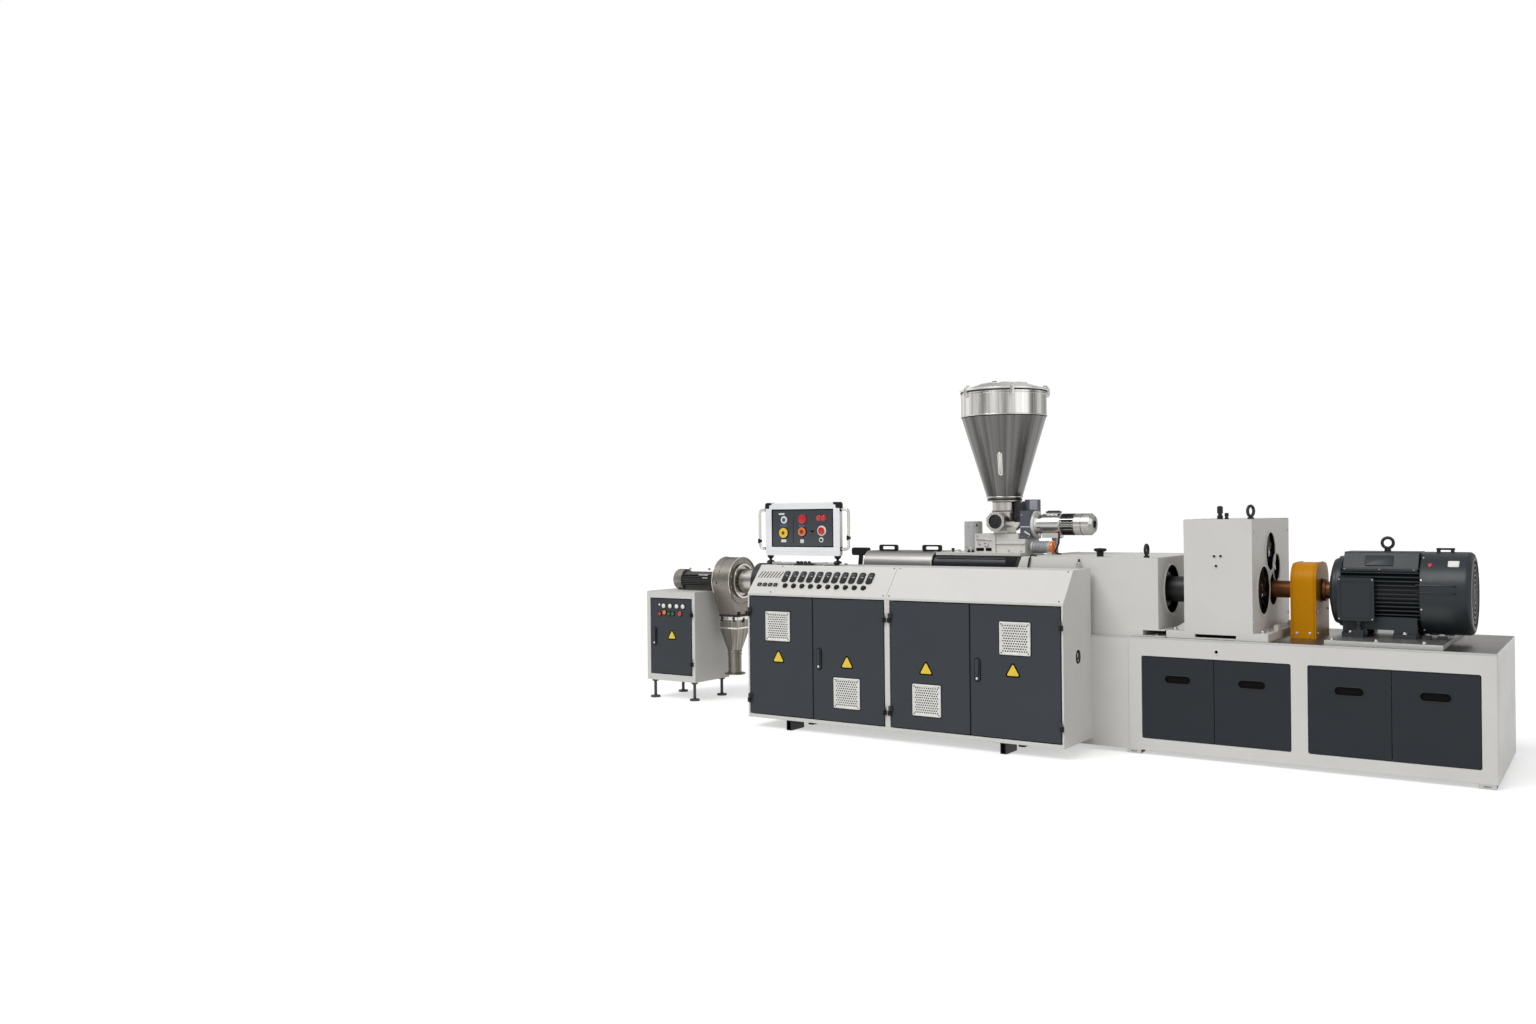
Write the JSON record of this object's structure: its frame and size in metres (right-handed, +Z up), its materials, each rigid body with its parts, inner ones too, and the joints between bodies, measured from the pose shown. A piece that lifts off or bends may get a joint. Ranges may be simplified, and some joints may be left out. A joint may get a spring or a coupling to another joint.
{
  "type": "plastic extruder with die-face cutter",
  "caption": "Twin-screw plastic extruder on a sheet-metal base, with hopper, control cabinet, gearbox, motor and a die-face cutter unit.",
  "frame": {"origin": "bottom centre of the whole machine's box, on the floor", "axes": "+X along the machine towards the drive end, +Y from the control side to the back, +Z up"},
  "size_m": [6.07, 1.578, 2.388],
  "materials": {
    "white_paint": "satin powder coat",
    "grey_top": "semi-gloss paint",
    "panel_grey": "satin powder coat",
    "foot_steel": "matte paint",
    "plate_steel": "ground",
    "motor_paint": "semi-gloss paint",
    "shaft_steel": "red-brown primer",
    "guard_paint": "satin safety yellow",
    "black_paint": "satin",
    "black_plastic": "matte",
    "dark_steel": "blackened",
    "stainless": "brushed stainless",
    "grey_paint": "satin",
    "slate_paint": "satin",
    "bright_steel": "machined",
    "door_paint": "satin powder coat",
    "grille_white": "matte",
    "aluminium_frame": "anodised",
    "screen_glass": "gloss"
  },
  "bodies": {
    "machine": {"base_frame": "white_paint", "base_top": "grey_top", "base_panels": "panel_grey", "base_feet": "plate_steel", "motor_rails": "plate_steel", "motor_body": "motor_paint", "motor_cowl": "motor_paint", "motor_terminal_box": "motor_paint", "coupling_guard": "guard_paint", "gearbox": "white_paint", "gearbox_vents": "black_paint", "connecting_sleeve": "black_paint", "distribution_box": "white_paint", "lifting_eyes": "black_paint", "barrel": "dark_steel", "barrel_cover": "stainless", "cover_handles": "black_plastic", "vent_trough": "dark_steel", "die_head": "dark_steel", "die_adaptor": "stainless", "feed_block": "white_paint", "round_column": "grey_paint", "feeder_body": "stainless", "feeder_gear_case": "slate_paint", "feeder_motor": "bright_steel", "vacuum_motor": "grey_paint", "hopper_shell": "stainless", "hopper_lid": "stainless", "cabinet_floor": "white_paint", "cabinet_back": "white_paint", "cabinet_sides": "white_paint", "hinge_blocks": "black_plastic", "cabinet_feet": "black_paint", "cabinet_console": "white_paint", "console_instruments": "black_plastic", "operator_panel": "aluminium_frame", "operator_screen": "screen_glass", "operator_stand": "black_plastic", "cutter_cabinet": "white_paint", "cutter_legs": "foot_steel", "cutter_motor": "motor_paint", "cutter_hood": "stainless", "discharge_funnel": "stainless", "discharge_spout": "stainless"},
    "cabinet_door_1": {"cabinet_door_1": "door_paint", "door_grille_1": "grille_white"},
    "cabinet_door_2": {"cabinet_door_2": "door_paint", "door_grille_2": "grille_white"},
    "cabinet_door_3": {"cabinet_door_3": "door_paint", "door_grille_3": "grille_white"},
    "cabinet_door_4": {"cabinet_door_4": "door_paint", "door_grille_4": "grille_white"},
    "cutter_door": {"cutter_door": "door_paint"},
    "drive_shaft": {"drive_shaft": "shaft_steel"}
  },
  "joints": [
    {"name": "cabinet_door_1_hinge", "type": "hinge", "parent": "machine", "child": "cabinet_door_1", "pos_m": [-1.4875, -0.781, 0.501], "axis": [0, 0, -1], "range_deg": [0, 120]},
    {"name": "cabinet_door_2_hinge", "type": "hinge", "parent": "machine", "child": "cabinet_door_2", "pos_m": [-0.4025, -0.781, 0.501], "axis": [0, 0, 1], "range_deg": [0, 90]},
    {"name": "cabinet_door_3_hinge", "type": "hinge", "parent": "machine", "child": "cabinet_door_3", "pos_m": [-0.3585, -0.781, 0.501], "axis": [0, 0, -1], "range_deg": [0, 90]},
    {"name": "cabinet_door_4_hinge", "type": "hinge", "parent": "machine", "child": "cabinet_door_4", "pos_m": [0.8115, -0.781, 0.501], "axis": [0, 0, 1], "range_deg": [0, 120]},
    {"name": "cutter_door_hinge", "type": "hinge", "parent": "machine", "child": "cutter_door", "pos_m": [-2.5685, -0.085, 0.507], "axis": [0, 0, 1], "range_deg": [0, 110]},
    {"name": "drive_shaft_spin", "type": "hinge", "parent": "machine", "child": "drive_shaft", "pos_m": [2.003, 0.239, 1], "axis": [1, 0, 0], "continuous": true}
  ]
}
